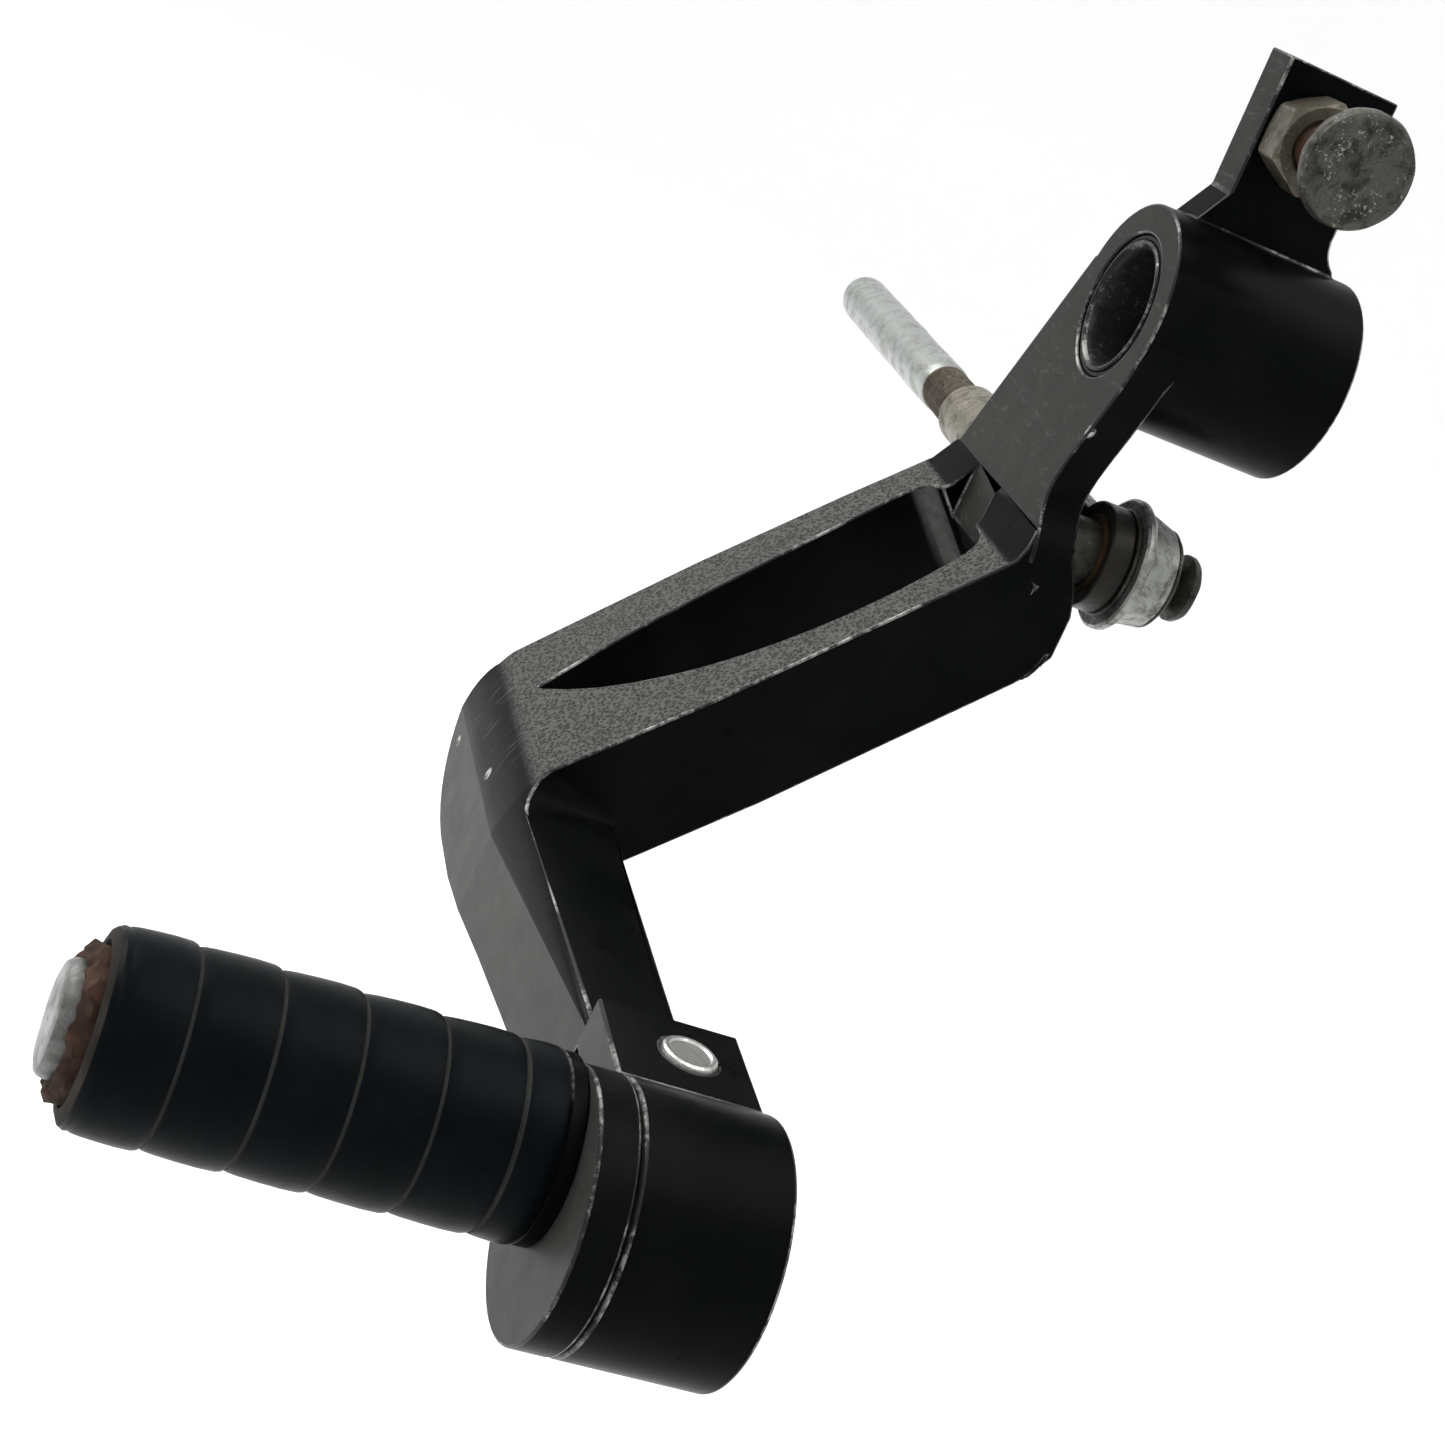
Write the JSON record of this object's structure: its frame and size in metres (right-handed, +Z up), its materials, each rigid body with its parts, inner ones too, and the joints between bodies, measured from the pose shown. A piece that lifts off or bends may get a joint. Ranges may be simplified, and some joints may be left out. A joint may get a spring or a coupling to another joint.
{
  "type": "gear shift lever",
  "caption": "Cranked motorcycle foot lever with a slotted offset arm, bushed pivot tube, stop bolt, rear link rod and a folding toe peg on an eccentric disc.",
  "frame": {"origin": "on the pivot axis, at the outboard face of the neck plate", "axes": "+X forward along the lower arm, -Y outboard towards the toe peg's tip, +Z up, along the stop fin"},
  "size_m": [0.2135, 0.1217, 0.129],
  "materials": {
    "anodised_arm": "black anodised aluminium, satin on the faces, glossy on the side walls",
    "bush": "plain bush, dull grey",
    "seal": "matt black",
    "stop_steel": "stained steel with brown rust",
    "stop_nut": "dull yellowed plating",
    "stud_steel": "dark oily steel",
    "zinc": "bright zinc plate",
    "link_shank": "dull beige plated steel",
    "bronze": "plain bronze liner",
    "spring_steel": "bright wire",
    "screw_steel": "black oxide",
    "core_steel": "worn bare steel",
    "peg_rubber": "matt black, dusty in the grooves",
    "rusty_washer": "rusty"
  },
  "bodies": {
    "lever": {"lever_arm": "anodised_arm", "pivot_bush_outboard": "bush", "pivot_bush_inboard": "bush", "dust_seal_outboard": "seal", "dust_seal_inboard": "seal", "stop_bolt_nut": "stop_nut", "link_stud": "stud_steel", "link_stud_washer": "stud_steel", "link_stud_nut": "zinc", "link_stud_locknut": "stud_steel", "fold_spring": "spring_steel"},
    "stop_screw": {"stop_bolt": "stop_steel"},
    "link": {"link_eye": "link_shank", "link_eye_bush": "bronze", "link_rod": "zinc"},
    "knuckle": {"toe_knuckle": "anodised_arm", "fold_pin": "core_steel"},
    "peg": {"eccentric_disc": "anodised_arm", "adjuster_screw": "screw_steel", "adjuster_washer": "screw_steel", "peg_core": "core_steel", "peg_rubber": "peg_rubber", "peg_end_washer": "rusty_washer"}
  },
  "joints": [
    {"name": "peg_fold", "type": "hinge", "parent": "lever", "child": "knuckle", "pos_m": [0.0705, -0.0365, -0.083], "axis": [0, 0, -1], "range_deg": [0, 45], "stiffness_Nm_per_rad": 0.5, "springref_deg": -20.05},
    {"name": "eccentric_adjust", "type": "hinge", "parent": "knuckle", "child": "peg", "pos_m": [0.085, -0.045, -0.083], "axis": [0, 1, 0], "range_deg": [-90, 90]},
    {"name": "link_swing", "type": "hinge", "parent": "lever", "child": "link", "pos_m": [0.0045, 0.0098, -0.0277], "axis": [0, 1, 0], "range_deg": [-4, 30]},
    {"name": "stop_adjust", "type": "slide", "parent": "lever", "child": "stop_screw", "axis": [1, 0, 0], "range_m": [-0.005, 0.004]}
  ]
}
